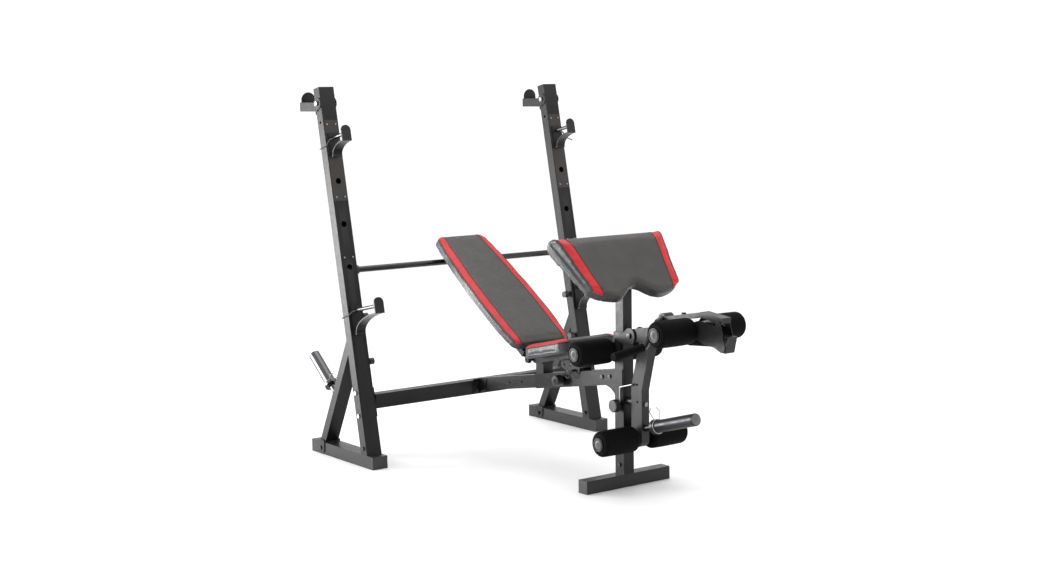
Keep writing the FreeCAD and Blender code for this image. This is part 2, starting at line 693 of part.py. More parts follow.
def backrest_frame():
    """Two square tubes with cross straps and hinge ears."""
    low = FRAME_LIFT
    parts = []
    for side in (-1, 1):
        y = side * 82
        tube = block(20, 700, y - 12.5, y + 12.5, low, low + BACK_FRAME)
        tube = tube.cut(block(22, 698, y - 10.5, y + 10.5, low + 2, low + BACK_FRAME - 2))
        y0, y1 = sorted((side * 70, side * 76))
        parts += [tube, hinge_lug(y0, y1, 70, 9)]
    for x in (60, 360, 640):
        parts.append(block(x, x + 30, -70, 70, low + BACK_FRAME - 5, low + BACK_FRAME))
    return tilt_back(axle_hole(fuse(*parts)))


def seat_pad():
    start, end = SEAT_SPAN
    side = ((start, SEAT_HALF), (end, SEAT_HALF))
    return tilt_seat(padded_board(side, 0.5, 0.5 + SEAT_T, 38, 9))


SEAT_PIN = (590.0, 422.6)


def seat_frame():
    """Two square tubes and the channel that straddles the beam, with its pin holes."""
    parts = []
    for side in (-1, 1):
        y = side * 50
        tube = block(20, 305, y - 12.5, y + 12.5, -19.5, 0.5)
        tube = tube.cut(block(22, 303, y - 10.5, y + 10.5, -17.5, -1.5))
        y0, y1 = sorted((side * 40, side * 46))
        parts += [tube, hinge_lug(y0, y1, 54, 9)]
    parts.append(block(105, 290, -40, 40, -4.5, 0.5))
    frame = tilt_seat(axle_hole(fuse(*parts)))
    slope = math.tan(SEAT_ANGLE)
    outline = [(500, 440 + 160 * slope - 1), (500, 428), (520, 418), (606, 412), (618, 420),
               (618, 440 + 278 * slope - 1)]
    for side in (-1, 1):
        y0, y1 = sorted((side * 28.4, side * 31.4))
        cheek = plate_xz(outline, y0, y1)
        for x, z in (SEAT_PIN, (522, 437), (560, 440)):
            cheek = cheek.cut(rod((x, y0 - 1, z), (x, y1 + 1, z), 5.0))
        frame = fuse(frame, cheek)
    return frame


def seat_pin():
    """Loose cross pin under the seat: it lies on the beam, one end bent into a ring."""
    x, z = SEAT_PIN
    pin = wire_form([(x, 46, z), (x, -46, z), (x - 10, -52, z - 12)], 5.0)
    ring = Part.makeTorus(15, 2.2, V(x - 22, -53, z - 16), V(0, 1, 0))
    return fuse(pin, ring)


# ---- preacher pad ------------------------------------------------------------
def tilt_preacher(shape):
    """Turn a flat-built part (X down the pad's face, Z out of it) into place."""
    angle = math.degrees(math.atan2(-PREACHER_DIR[1], PREACHER_DIR[0]))
    shape.rotate(V(0, 0, 0), V(0, 1, 0), angle)
    shape.translate(V(PREACHER_TOP[0], 0, PREACHER_TOP[1]))
    return shape


def under_pad(d):
    """Depth of the arm pad's underside at distance d down its face."""
    return -PREACHER_T - (300 - d) * PREACHER_TAPER


def preacher_pad():
    """Arm pad: a wedge with a thick rolled top edge, narrowing sides, lobes and a notch."""
    half_edge = [(244, 222), (268, 185), (285, 140), (290, 108), (282, 78), (263, 52), (240, 24)]
    mirrored = [(d, -y) for d, y in reversed(half_edge)]
    curve = Part.BSplineCurve()
    curve.interpolate([V(d, y, -90) for d, y in half_edge + [(232, 0)] + mirrored])
    corners = [V(244, -222, -90), V(-20, -269.5, -90), V(-20, 269.5, -90), V(244, 222, -90)]
    sides = [Part.makeLine(a, b) for a, b in zip(corners, corners[1:])]
    outline = Part.Wire(Part.__sortEdges__([curve.toShape()] + sides))
    prism = Part.Face(outline).extrude(V(0, 0, 120))
    x, z = ROLL_EDGE
    roll = Part.makeCylinder(ROLL_EDGE_R, 544, V(x, -272, z), V(0, 1, 0))
    crown = Part.BSplineCurve()
    profile = [(x, z + ROLL_EDGE_R), (70, 10), (130, 5), (200, 1), (300, 0)]
    crown.interpolate([V(d, -272, h) for d, h in profile])
    low = [V(300, -272, 0), V(300, -272, -PREACHER_T), V(29, -272, under_pad(29)), V(x, -272, z + ROLL_EDGE_R)]
    edges = [crown.toShape()] + [Part.makeLine(a, b) for a, b in zip(low, low[1:])]
    wedge = Part.Face(Part.Wire(Part.__sortEdges__(edges))).extrude(V(0, 544, 0))
    return tilt_preacher(fuse(wedge, roll).common(prism))


def curl_post():
    """Telescoping post with the plate that the arm pad is screwed to."""
    half = CURL_W / 2
    post = block(POST_X - half, POST_X + half, -half, half, CURL_BOTTOM, 900)
    inner = half - WALL
    post = post.cut(block(POST_X - inner, POST_X + inner, -inner, inner, CURL_BOTTOM - 1, 901))
    for i in range(3):
        z = CURL_PIN_Z - 50 * i
        post = post.cut(rod((POST_X, -40, z), (POST_X, 40, z), 5.2))

    def slab(d0, d1, half_width, top):
        corners = [(d0, under_pad(d0) - 5), (d1, under_pad(d1) - 5), (d1, top(d1)), (d0, top(d0))]
        return tilt_preacher(plate_xz(corners, -half_width, half_width))
    above = slab(-200, 500, 100, lambda d: 200)
    return fuse(post.cut(above), slab(68, 215, 60, under_pad))


# ---- leg lever ---------------------------------------------------------------
def leg_lever():
    """Swinging lever: the drop tube, the arm above it and the pivot boss."""
    x0 = 948.5
    low = bar_xz((x0, 190), (x0, 403), LEVER_W, LEVER_D, 2.5)
    toe = rod((x0, -LEVER_W / 2, 200), (x0, LEVER_W / 2, 200), LEVER_D / 2)
    toe = toe.common(block(x0 - 40, x0 + 40, -30, 30, 150, 200))
    high = bar_xz((x0, 396), (1001, 592), LEVER_W, LEVER_D, 2.5)
    slope = math.atan2(ARM_END[1] - PIVOT[1], ARM_END[0] - PIVOT[0])
    place = local_frame(PIVOT, slope)
    arm = bar_xz(PIVOT, ARM_END, ARM_W, 50, 2.5)
    butt = Part.makeCylinder(25, ARM_W, V(PIVOT[0], -ARM_W / 2, PIVOT[1]), V(0, 1, 0))
    boss = Part.makeCylinder(14, 50.2, V(PIVOT[0], -25.1, PIVOT[1]), V(0, 1, 0))
    above_arm = plate_xz([place(-60, 0), place(300, 0), place(300, 200), place(-60, 200)], -50, 50)
    seat_cut = plate_xz([place(-60, -24), place(300, -24), place(300, 0), place(-60, 0)], -50, 50)
    drop = fuse(low, toe, high).cut(above_arm).cut(seat_cut)
    lever = fuse(drop, arm, butt, boss)
    lever = lever.cut(rod((PIVOT[0], -40, PIVOT[1]), (PIVOT[0], 40, PIVOT[1]), 8.05))
    for x, z in (THIGH_AXIS, ANKLE_AXIS):
        lever = lever.cut(rod((x, -40, z), (x, 40, z), ROLL_TUBE_R))
    for z in (345, 412):
        lever = lever.cut(rod((953, -40, z), (953, 0, z), 4.5))
    return lever


def sleeve_rod(t0, t1, radius):
    """Round piece on the lever's weight sleeve axis, between two distances along it."""
    place = local_frame(SLEEVE_BASE, SLEEVE_TILT)
    a, b = place(t0, 0), place(t1, 0)
    return rod((a[0], 0, a[1]), (b[0], 0, b[1]), radius)


SLEEVE_START = 70.0
SLEEVE_END = 290.0
BUMPER_Z = 338.0


def weight_sleeve():
    """Chrome stub and olympic sleeve, cut flush with the lever's front face."""
    body_start = SLEEVE_START + CLIP_NECK
    sleeve = fuse(sleeve_rod(-8, SLEEVE_START + 2, 12.5), sleeve_rod(SLEEVE_START, body_start, NECK_R),
                  sleeve_rod(body_start, SLEEVE_END, OLYMPIC_R))
    return sleeve.cut(block(900, 948.5 + LEVER_D / 2, -60, 60, 150, 400))


def lever_caps():
    """Black pieces of the lever: roll caps, sleeve stop and end plug, rubber bumper."""
    collar = sleeve_rod(SLEEVE_START - 14, SLEEVE_START, 29).cut(sleeve_rod(0, SLEEVE_START + 1, 12.5))
    plug = sleeve_rod(SLEEVE_END, SLEEVE_END + 4, 23)
    front = POST_X + POST_W / 2 + REST_GAP
    bumper = rod((front, 0, BUMPER_Z), (948.5 - LEVER_D / 2, 0, BUMPER_Z), 15)
    return group(roll_caps(THIGH_AXIS) + roll_caps(ANKLE_AXIS) + [collar, plug, bumper])


def sleeve_clip():
    place = local_frame(SLEEVE_BASE, SLEEVE_TILT)
    return spring_clip(place(SLEEVE_START + CLIP_NECK / 2, 0), SLEEVE_TILT, 0.0)


BAR_PLANE = 1100.0


def curl_yoke():
    """Adapter for the curl bar: sloping tube, bar clamp, and cheeks round the thigh tube."""
    near = bar_xz((1108, 680), (1314, 717), 45, 20, 2.5)
    far = bar_xz((1306, 717), (1418, 705.5), 45, 20, 2.5)
    cap = bar_xz((1417, 705.6), (1421, 705.2), 45, 20)
    clamp = rod((BAR_PLANE, -22.5, 683), (BAR_PLANE, 22.5, 683), 19)
    foot = block(1108, 1134, -18, 18, 655, 672)
    foot = foot.cut(plate_xz([(1090, 625), (1090, beam_top(1090)), (1150, beam_top(1150)), (1150, 625)], -30, 30))
    outline = [(1252, 680), (1298, 694), (1340, 692), (1390, 681), (1390, 706), (1412, 704),
               (1440, 612), (1435, 592), (1418, 592), (1385, 606), (1330, 612), (1252, 640)]
    cheeks = []
    for y0, y1 in ((-26.5, -22.5), (22.5, 26.5)):
        disc = Part.makeCylinder(25, 4, V(THIGH_AXIS[0], y0, THIGH_AXIS[1]), V(0, 1, 0))
        cheek = fuse(plate_xz(outline, y0, y1), disc)
        x, z = THIGH_AXIS
        cheeks.append(cheek.cut(rod((x, y0 - 1, z), (x, y1 + 1, z), ROLL_TUBE_R)))
    bend = [(1404, 652), (1454, 650), (1437, 590), (1416, 591),
            (1416, 595), (1433.5, 594.5), (1449.5, 646), (1404, 648)]
    nose = plate_xz(bend, -22.5, 22.5)
    screw = rod((1196, 0, 690), (1196, 0, 712), 9)
    yoke = fuse(near, far, cap, clamp, foot, nose, screw, *cheeks)
    return yoke.cut(curl_bar())


def beam_top(x):
    """Height of the lever arm's top face at x."""
    slope = (ARM_END[1] - PIVOT[1]) / (ARM_END[0] - PIVOT[0])
    return PIVOT[1] + slope * (x - PIVOT[0]) + 25 * math.hypot(1, slope)


CURL_BAR_PATH = ((255.0, 562.0), (106.0, 584.0), (45.0, 672.0), (20.0, 683.0))


def curl_bar():
    """W-shaped bar bent from round stock, in one plane across the lever."""
    right = [(BAR_PLANE, y, z) for y, z in CURL_BAR_PATH]
    left = [(BAR_PLANE, -y, z) for y, z in reversed(CURL_BAR_PATH)]
    return wire_form(right + left, 11.0)


def curl_grips():
    """Foam grips on the two sloping ends of the curl bar."""
    (y0, z0), (y1, z1) = CURL_BAR_PATH[0], CURL_BAR_PATH[1]
    solids = []
    for side in (-1, 1):
        def at(t):
            return (BAR_PLANE, side * (y0 + (y1 - y0) * t), z0 + (z1 - z0) * t)
        sleeve = rod(at(-0.02), at(0.93), 16)
        solids.append(sleeve.cut(rod(at(0.0), at(0.95), 11)))
    return group(solids)


# ---- writing -----------------------------------------------------------------
def write(name, shape):
    """Move a node to the shared origin and save it."""
    shape.translate(V(-ORIGIN_X, 0, 0))
    shape.exportStep("parts/" + name + ".step")
    return shape


def main():
    rack_screws = rack_bolts()
    joint_bolts = bench_bolts()
    nodes = {
        "crossbeam": crossbeam().cut(rack_screws),
        "support_bar": support_bar(),
        "inner_beam": inner_beam(),
        "rack_bolts": rack_screws,
        "rack_plugs": rack_plugs(),
        "rack_knobs": rack_knobs(),
        "wear_plates": group([wear_plate(-1), wear_plate(1)]),
        "plate_pegs": group([plate_peg(-1), plate_peg(1)]),
        "rear_hook_pins": rear_hook_pins(),
        "main_beam": main_beam().cut(joint_bolts),
        "seat_post": seat_post(),
        "front_post": front_post().cut(joint_bolts),
        "front_foot": front_foot().cut(joint_bolts),
        "post_plates": post_plates().cut(joint_bolts),
        "bench_bolts": joint_bolts,
        "knee_roll_tube": roll_tube(KNEE_AXIS),
        "bench_caps": bench_caps(),
        "beam_pull_pin": pull_pin(BEAM_PIN_X, beam_z(BEAM_PIN_X), BEAM_W / 2, 22.5, 22.0, 68.0),
        "curl_pull_pin": pull_pin(POST_X, CURL_PIN_Z, POST_W / 2, CURL_W / 2, 25.0, 60.0),
        "lever_lock": lever_lock(),
        "backrest_pad": backrest_pad(),
        "backrest_frame": backrest_frame(),
        "seat_pad": seat_pad(),
        "seat_frame": seat_frame(),
        "seat_pin": seat_pin(),
        "preacher_pad": preacher_pad(),
        "curl_post": curl_post(),
        "leg_lever": leg_lever(),
        "lever_roll_tubes": lever_roll_tubes(),
        "lever_caps": lever_caps(),
        "weight_sleeve": weight_sleeve(),
        "sleeve_clip": sleeve_clip(),
        "curl_yoke": curl_yoke(),
        "curl_bar": curl_bar(),
        "curl_grips": curl_grips(),
    }
    for name, side in (("left", -1), ("right", 1)):
        nodes[name + "_upright"] = upright(side).cut(rack_screws)
        nodes[name + "_foot"] = rack_foot(side).cut(rack_screws)
        nodes[name + "_rear_leg"] = rear_leg(side).cut(rack_screws)
        nodes[name + "_peg_clip"] = peg_clip(side)
        nodes[name + "_rear_hook"] = rear_hook(side)
        for level in HOOK_LEVELS:
            nodes[name + "_" + level + "_hook"] = hook_strap(side, level)
            nodes[name + "_" + level + "_hook_rod"] = hook_rod(side, level)
        for roll, axis in (("knee", KNEE_AXIS), ("thigh", THIGH_AXIS), ("ankle", ANKLE_AXIS)):
            nodes[name + "_" + roll + "_roll"] = foam_roll(axis, side, FOAM_R)
    total = FreeCAD.BoundBox()
    for name, shape in nodes.items():
        total.add(write(name, shape).BoundBox)
    print(len(nodes), "nodes", total)


main()
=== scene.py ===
import json
import math

import bmesh
import bpy
from mathutils import Matrix, Vector


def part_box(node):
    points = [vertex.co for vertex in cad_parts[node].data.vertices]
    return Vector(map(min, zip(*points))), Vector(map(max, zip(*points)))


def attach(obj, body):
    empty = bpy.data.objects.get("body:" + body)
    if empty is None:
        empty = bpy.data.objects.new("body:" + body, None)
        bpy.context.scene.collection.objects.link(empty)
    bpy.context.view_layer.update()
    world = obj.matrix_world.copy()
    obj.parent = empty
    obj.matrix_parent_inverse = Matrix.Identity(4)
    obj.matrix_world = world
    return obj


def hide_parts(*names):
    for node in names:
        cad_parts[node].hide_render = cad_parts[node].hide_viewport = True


# Looks for the olympic bench press. Metres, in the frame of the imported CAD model.

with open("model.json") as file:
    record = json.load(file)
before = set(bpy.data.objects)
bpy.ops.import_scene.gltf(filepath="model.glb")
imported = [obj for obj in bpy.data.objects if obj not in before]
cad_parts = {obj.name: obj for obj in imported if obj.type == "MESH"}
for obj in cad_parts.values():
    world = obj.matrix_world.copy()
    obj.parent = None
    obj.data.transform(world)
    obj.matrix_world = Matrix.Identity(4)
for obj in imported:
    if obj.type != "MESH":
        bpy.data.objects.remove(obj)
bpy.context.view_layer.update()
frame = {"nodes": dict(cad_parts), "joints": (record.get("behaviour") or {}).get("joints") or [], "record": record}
NODES = frame["nodes"]
SIDES = (("left", -1), ("right", 1))

EDGE_BEVEL = 0.0012       # rounded edge of a CAD piece
SMALL_BEVEL = 0.0006      # the same on zinc hardware
FOOT_BOLT_TOP = 0.15      # bolts in the rack's feet lie below this height and are black
VOXEL = 0.006             # grid of a cushion's even mesh
SWELL_CAP = 0.004         # furthest that the swelling moves a point
GROOVE_DEPTH = 0.0012     # how far a seam is drawn in
GROOVE_REACH = 0.005      # how far from the seam the draw is felt
SEAM_CORD_R = 0.0009
PIPING_R = 0.0018
RIM_INSET = 0.006         # the backrest's stripes end this far inside its edge
EVERYWHERE = -10.0        # an X before the start of any cushion


# ---- material helpers ---------------------------------------------------------
class Surface:
    """A node material under construction: one shader plus a few procedural layers."""

    def __init__(self, name, colour, roughness, metallic=0.0):
        self.mat = bpy.data.materials.new(name)
        self.mat.use_nodes = True
        self.mat.diffuse_color = (*colour, 1)
        self.nodes = self.mat.node_tree.nodes
        self.links = self.mat.node_tree.links
        self.shader = self.nodes["Principled BSDF"]
        self.shader.inputs["Base Color"].default_value = (*colour, 1)
        self.shader.inputs["Roughness"].default_value = roughness
        self.shader.inputs["Metallic"].default_value = metallic
        self.place = self.nodes.new("ShaderNodeTexCoord").outputs["Object"]
        self.height = None

    def set(self, socket, value):
        self.shader.inputs[socket].default_value = value
        return self

    def noise(self, scale, detail=3.0, stretch=None):
        """Factor output of a noise texture, optionally stretched along an axis."""
        place = self.place
        if stretch:
            mapping = self.nodes.new("ShaderNodeMapping")
            mapping.inputs["Scale"].default_value = stretch
            self.links.new(place, mapping.inputs["Vector"])
            place = mapping.outputs["Vector"]
        tex = self.nodes.new("ShaderNodeTexNoise")
        tex.inputs["Scale"].default_value = scale
        tex.inputs["Detail"].default_value = detail
        self.links.new(place, tex.inputs["Vector"])
        return tex.outputs["Fac"]

    def cells(self, scale, feature="F1"):
        """Distance output of a cell texture, for leather grain and foam pores."""
        tex = self.nodes.new("ShaderNodeTexVoronoi")
        tex.feature = feature
        tex.inputs["Scale"].default_value = scale
        self.links.new(self.place, tex.inputs["Vector"])
        return tex.outputs["Distance"]

    def remap(self, source, low, high, start=0.3, end=0.7):
        """Spread a texture output between two values."""
        node = self.nodes.new("ShaderNodeMapRange")
        node.inputs["From Min"].default_value = start
        node.inputs["From Max"].default_value = end
        node.inputs["To Min"].default_value = low
        node.inputs["To Max"].default_value = high
        self.links.new(source, node.inputs["Value"])
        return node.outputs["Result"]

    def vary_roughness(self, source, low, high):
        self.links.new(self.remap(source, low, high), self.shader.inputs["Roughness"])
        return self

    def vary_colour(self, source, dark, light, start=0.3, end=0.7):
        ramp = self.nodes.new("ShaderNodeValToRGB")
        ramp.color_ramp.elements[0].position = start
        ramp.color_ramp.elements[0].color = (*dark, 1)
        ramp.color_ramp.elements[1].position = end
        ramp.color_ramp.elements[1].color = (*light, 1)
        self.links.new(source, ramp.inputs["Fac"])
        self.colour = ramp.outputs["Color"]
        self.links.new(self.colour, self.shader.inputs["Base Color"])
        return self

    def paint_edge_highlights(self, colour, amount):
        """Lighten the colour where corners stick out: a painted highlight along the edges."""
        pointed = self.nodes.new("ShaderNodeNewGeometry").outputs["Pointiness"]
        mask = self.remap(pointed, 0.0, amount, 0.52, 0.62)
        mix = self.nodes.new("ShaderNodeMix")
        mix.data_type = "RGBA"
        self.links.new(mask, mix.inputs["Factor"])
        self.links.new(self.colour, mix.inputs["A"])
        mix.inputs["B"].default_value = (*colour, 1)
        self.links.new(mix.outputs["Result"], self.shader.inputs["Base Color"])
        return self

    def bump(self, source, depth):
        """Add a height layer; depth in metres. Layers stack."""
        node = self.nodes.new("ShaderNodeBump")
        node.inputs["Strength"].default_value = 1.0
        node.inputs["Distance"].default_value = depth
        self.links.new(source, node.inputs["Height"])
        if self.height:
            self.links.new(self.height, node.inputs["Normal"])
        self.height = node.outputs["Normal"]
        self.links.new(self.height, self.shader.inputs["Normal"])
        return self


# ---- materials ----------------------------------------------------------------
def powder_coat(name, dark, light):
    """Satin black powder coat: fine orange peel, faint patches, painted highlights on the edges."""
    s = Surface(name, light, 0.36)
    s.vary_colour(s.noise(9.0, 4.0), dark, light)
    # painted highlight: the colour is lightened along sticking-out edges
    s.paint_edge_highlights((0.05, 0.05, 0.052), 0.35)
    s.vary_roughness(s.noise(40.0, 4.0), 0.28, 0.40)
    s.bump(s.noise(900.0, 2.0), 0.00012)
    s.bump(s.noise(160.0, 2.0), 0.00010)
    s.set("Specular IOR Level", 0.24)
    return s.mat


def chrome(name, colour, low, high):
    """Plated steel with drawn lines and faint handling marks."""
    s = Surface(name, colour, low, 1.0)
    s.vary_roughness(s.noise(30.0, 6.0), low, high)
    s.bump(s.noise(700.0, 2.0, (1.0, 0.05, 1.0)), 0.00003)
    return s.mat


def gloss_black(name):
    """Shiny black steel: smooth enamel with a faint orange peel."""
    s = Surface(name, (0.006, 0.006, 0.0065), 0.18)
    s.vary_roughness(s.noise(70.0, 3.0), 0.14, 0.26)
    s.bump(s.noise(350.0, 2.0), 0.00005)
    return s.mat


def zinc(name):
    """Zinc-plated hardware: slightly mottled, faintly yellow."""
    s = Surface(name, (0.55, 0.55, 0.53), 0.3, 1.0)
    s.vary_colour(s.noise(120.0, 4.0), (0.26, 0.26, 0.255), (0.42, 0.415, 0.40))
    s.vary_roughness(s.noise(300.0, 3.0), 0.22, 0.42)
    s.bump(s.noise(1500.0, 2.0), 0.00003)
    return s.mat


def plastic(name, dark, light, roughness):
    """Moulded plastic with a spark-eroded grain."""
    s = Surface(name, light, roughness)
    s.vary_colour(s.noise(25.0, 3.0), dark, light)
    s.vary_roughness(s.noise(60.0, 3.0), roughness - 0.06, roughness + 0.08)
    s.bump(s.cells(1400.0), 0.00008)
    return s.mat


def foam(name):
    """Closed-cell foam: dull, finely pored, with larger soft dents."""
    s = Surface(name, (0.012, 0.012, 0.012), 0.85)
    s.vary_colour(s.cells(900.0), (0.0012, 0.0012, 0.0012), (0.0036, 0.0034, 0.0034), 0.1, 0.6)
    s.vary_roughness(s.noise(80.0, 3.0), 0.62, 0.78)
    s.set("Specular IOR Level", 0.05)
    s.bump(s.cells(1100.0), 0.00020)
    s.bump(s.noise(45.0, 3.0), 0.0004)
    return s.mat


def vinyl(name, dark, light, roughness, specular=0.45):
    """Upholstery vinyl: pebbled leather grain with fine pores."""
    s = Surface(name, light, roughness)
    s.vary_colour(s.noise(14.0, 5.0), dark, light)
    s.vary_roughness(s.noise(55.0, 3.0), roughness - 0.05, roughness + 0.08)
    s.bump(s.cells(520.0, "DISTANCE_TO_EDGE"), 0.00022)
    s.bump(s.noise(1300.0, 2.0), 0.00008)
    s.set("Specular IOR Level", specular)
    return s.mat


MAT = {
    "frame_paint": powder_coat("powder_coat_black", (0.0040, 0.0040, 0.0048), (0.0070, 0.0070, 0.0080)),
    # hook_paint is the frame's powder coat painted darker: painted shade where the hooks sit in shadow
    "hook_paint": powder_coat("powder_coat_hooks_painted_shade", (0.0035, 0.0035, 0.0042), (0.0060, 0.0060, 0.0070)),
    "chrome": chrome("chrome_plate", (0.095, 0.095, 0.10), 0.22, 0.36),
    "sleeve_steel": chrome("sleeve_steel", (0.055, 0.055, 0.058), 0.34, 0.48),
    "zinc": zinc("zinc_hardware"),
    "roll_tube": chrome("roll_tube_steel", (0.22, 0.22, 0.23), 0.28, 0.42),
    "hook_rod": chrome("hook_rod_steel", (0.13, 0.13, 0.135), 0.26, 0.40),
    "dark_steel": gloss_black("gloss_black_steel"),
    "black_plastic": plastic("moulded_black", (0.008, 0.008, 0.009), (0.016, 0.016, 0.017), 0.42),
    "foam": foam("foam_black"),
    "pad_vinyl": vinyl("vinyl_charcoal", (0.033, 0.0280, 0.0275), (0.044, 0.038, 0.037), 0.46),
    # the cushion vinyl painted darker and bluer for the side walls: painted shade
    "vinyl_side_painted_shade": vinyl("vinyl_side_painted_shade", (0.021, 0.0215, 0.025), (0.031, 0.0315, 0.036), 0.36, 0.5),
    "vinyl_red": vinyl("vinyl_red", (0.42, 0.008, 0.011), (0.50, 0.013, 0.017), 0.44, 0.35),
    "piping": plastic("piping_black", (0.006, 0.006, 0.006), (0.012, 0.012, 0.012), 0.45),
    "wear_plate": plastic("wear_plate_brown", (0.016, 0.0125, 0.0115), (0.024, 0.019, 0.017), 0.34),
    "grey_cap": plastic("cap_grey", (0.09, 0.09, 0.093), (0.125, 0.125, 0.128), 0.38),
}


def finish_cad_nodes():
    """Give every CAD node its material, by slot or by name, and a small rounded edge."""
    slots = {p["node"]: p["material_slot"] for p in frame["record"]["subparts"]}
    finish = {name: "hook_rod" for name in NODES if name.endswith("_hook_rod")}
    finish["wear_plates"] = "wear_plate"
    finish["weight_sleeve"] = "sleeve_steel"
    for name, node in NODES.items():
        node.data.materials.clear()
        node.data.materials.append(MAT[finish.get(name, slots[name])])
        bevel = node.modifiers.new("soft_edges", "BEVEL")
        bevel.width = SMALL_BEVEL if slots[name] == "zinc" else EDGE_BEVEL
        bevel.segments = 2
        bevel.limit_method = "ANGLE"
        bevel.angle_limit = math.radians(50)
        bevel.use_clamp_overlap = True
        bevel.harden_normals = False
    bolts = NODES["rack_bolts"].data
    bolts.materials.append(MAT["dark_steel"])
    for p in bolts.polygons:
        if p.center.z < FOOT_BOLT_TOP:
            p.material_index = 1


# ---- mesh helpers -------------------------------------------------------------
def mesh_object(name, bm, materials, smooth=True):
    """New object from a bmesh, with its material list."""
    mesh = bpy.data.meshes.new(name)
    bm.to_mesh(mesh)
    bm.free()
    for m in materials:
        mesh.materials.append(m)
    for p in mesh.polygons:
        p.use_smooth = smooth
    obj = bpy.data.objects.new(name, mesh)
    bpy.context.scene.collection.objects.link(obj)
    return obj


def lathe(name, profile, centre, material, steps=48):
    """Ring-shaped piece turned about an axis along Y; profile is (radius, y) points."""
    bm = bmesh.new()
    rings = []
    for i in range(steps):
        a = 2 * math.pi * i / steps
        rings.append([bm.verts.new((r * math.cos(a), y, r * math.sin(a))) for r, y in profile])
    for i in range(steps):
        here, there = rings[i], rings[(i + 1) % steps]
        for j in range(len(profile)):
            k = (j + 1) % len(profile)
            bm.faces.new((here[j], here[k], there[k], there[j]))
    bmesh.ops.recalc_face_normals(bm, faces=bm.faces[:])
    obj = mesh_object(name, bm, [material])
    obj.location = centre
    return obj


def tube_along(name, points, radius, material):
    """Round cord through points: piping and seams."""
    curve = bpy.data.curves.new(name, "CURVE")
    curve.dimensions = "3D"
    curve.bevel_depth = radius
    curve.bevel_resolution = 3
    spline = curve.splines.new("POLY")
    spline.points.add(len(points) - 1)
    for p, co in zip(spline.points, points):
        p.co = (*co, 1)
    curve.materials.append(material)
    obj = bpy.data.objects.new(name, curve)
    bpy.context.scene.collection.objects.link(obj)
    return obj


# ---- cushions -----------------------------------------------------------------
def apply_modifiers(obj):
    """Replace the object's mesh with what its modifiers make of it."""
    dg = bpy.context.evaluated_depsgraph_get()
    mesh = bpy.data.meshes.new_from_object(obj.evaluated_get(dg))
    obj.modifiers.clear()
    obj.data = mesh


def inflate(obj, board_z, cap):
    """Swell the cushion with a short cloth simulation; the board side stays put."""
    rest = [v.co.copy() for v in obj.data.vertices]
    pinned = obj.vertex_groups.new(name="board")
    for v in obj.data.vertices:
        hold = 1.0 if v.co.z < board_z else 0.0
        pinned.add([v.index], hold, "REPLACE")
    cloth = obj.modifiers.new("swell", "CLOTH")
    cloth.settings.quality = 5
    cloth.settings.mass = 0.3
    cloth.settings.use_pressure = True
    cloth.settings.uniform_pressure_force = 4.0
    cloth.settings.effector_weights.gravity = 0.0
    cloth.settings.vertex_group_mass = "board"
    for f in range(1, 21):
        bpy.context.scene.frame_set(f)
    apply_modifiers(obj)
    bpy.context.scene.frame_set(1)
    for v, co in zip(obj.data.vertices, rest):
        move = v.co - co
        if move.length > cap:
            v.co = co + move * (cap / move.length)


def cut_loops(bm, point, normal, start=EVERYWHERE):
    """Cut the mesh beyond X = start by a plane; the cuts come back as ordered points."""
    faces = [f for f in bm.faces if f.calc_center_median().x > start]
    geom = bm.verts[:] + bm.edges[:] + faces
    cut = bmesh.ops.bisect_plane(bm, geom=geom, dist=1e-5, plane_co=point, plane_no=normal)["geom_cut"]
    edges = {e for e in cut if isinstance(e, bmesh.types.BMEdge)}
    loops = []
    while edges:
        first = edges.pop()
        chain = [first.verts[0], first.verts[1]]
        grown = True
        while grown:
            grown = False
            for e in chain[-1].link_edges:
                if e in edges:
                    edges.discard(e)
                    chain.append(e.other_vert(chain[-1]))
                    grown = True
                    break
        loops.append([v.co.copy() for v in chain])
    return loops


def cut_along(bm, profile):
    """Cut the mesh where the distance from the centre line equals profile(x)."""
    for v in bm.verts:
        v.co.y /= profile(v.co.x)
    loops = cut_loops(bm, (0, 1, 0), (0, 1, 0)) + cut_loops(bm, (0, -1, 0), (0, -1, 0))
    for v in bm.verts:
        v.co.y *= profile(v.co.x)
    return [[Vector((p.x, p.y * profile(p.x), p.z)) for p in loop] for loop in loops]


def stretches(loop, keep):
    """The parts of a closed point loop where keep(point) holds."""
    wanted = [keep(p) for p in loop]
    if all(wanted):
        return [loop]
    first = wanted.index(False)
    found, current = [], []
    for p in loop[first:] + loop[:first + 1]:
        if keep(p):
            current.append(p)
        else:
            found.append(current)
            current = []
    return [part for part in found if len(part) > 6]


def read_off(points):
    """Function that reads a value between (x, value) pairs."""
    def value(x):
        for (x0, v0), (x1, v1) in zip(points, points[1:]):
            if x <= x1 or (x1, v1) == points[-1]:
                t = min(max((x - x0) / (x1 - x0), 0.0), 1.0)
                return v0 + (v1 - v0) * t
    return value


def cover_mesh(node, to_world, board_z):
    """Even, softened and swollen skin grown from a CAD cushion laid flat."""
    bm = bmesh.new()
    bm.from_mesh(NODES[node].data)
    bmesh.ops.transform(bm, matrix=to_world.inverted(), verts=bm.verts)
    bmesh.ops.remove_doubles(bm, verts=bm.verts, dist=1e-5)
    obj = mesh_object(node + "_cover", bm, [])
    voxels = obj.modifiers.new("voxels", "REMESH")
    voxels.mode = "VOXEL"
    voxels.voxel_size = VOXEL
    apply_modifiers(obj)
    relax = obj.modifiers.new("relax", "SMOOTH")
    relax.factor = 0.6
    relax.iterations = 3
    apply_modifiers(obj)
    inflate(obj, board_z, SWELL_CAP)
    fine = obj.modifiers.new("fine", "SUBSURF")
    fine.levels = 1
    apply_modifiers(obj)
    return obj


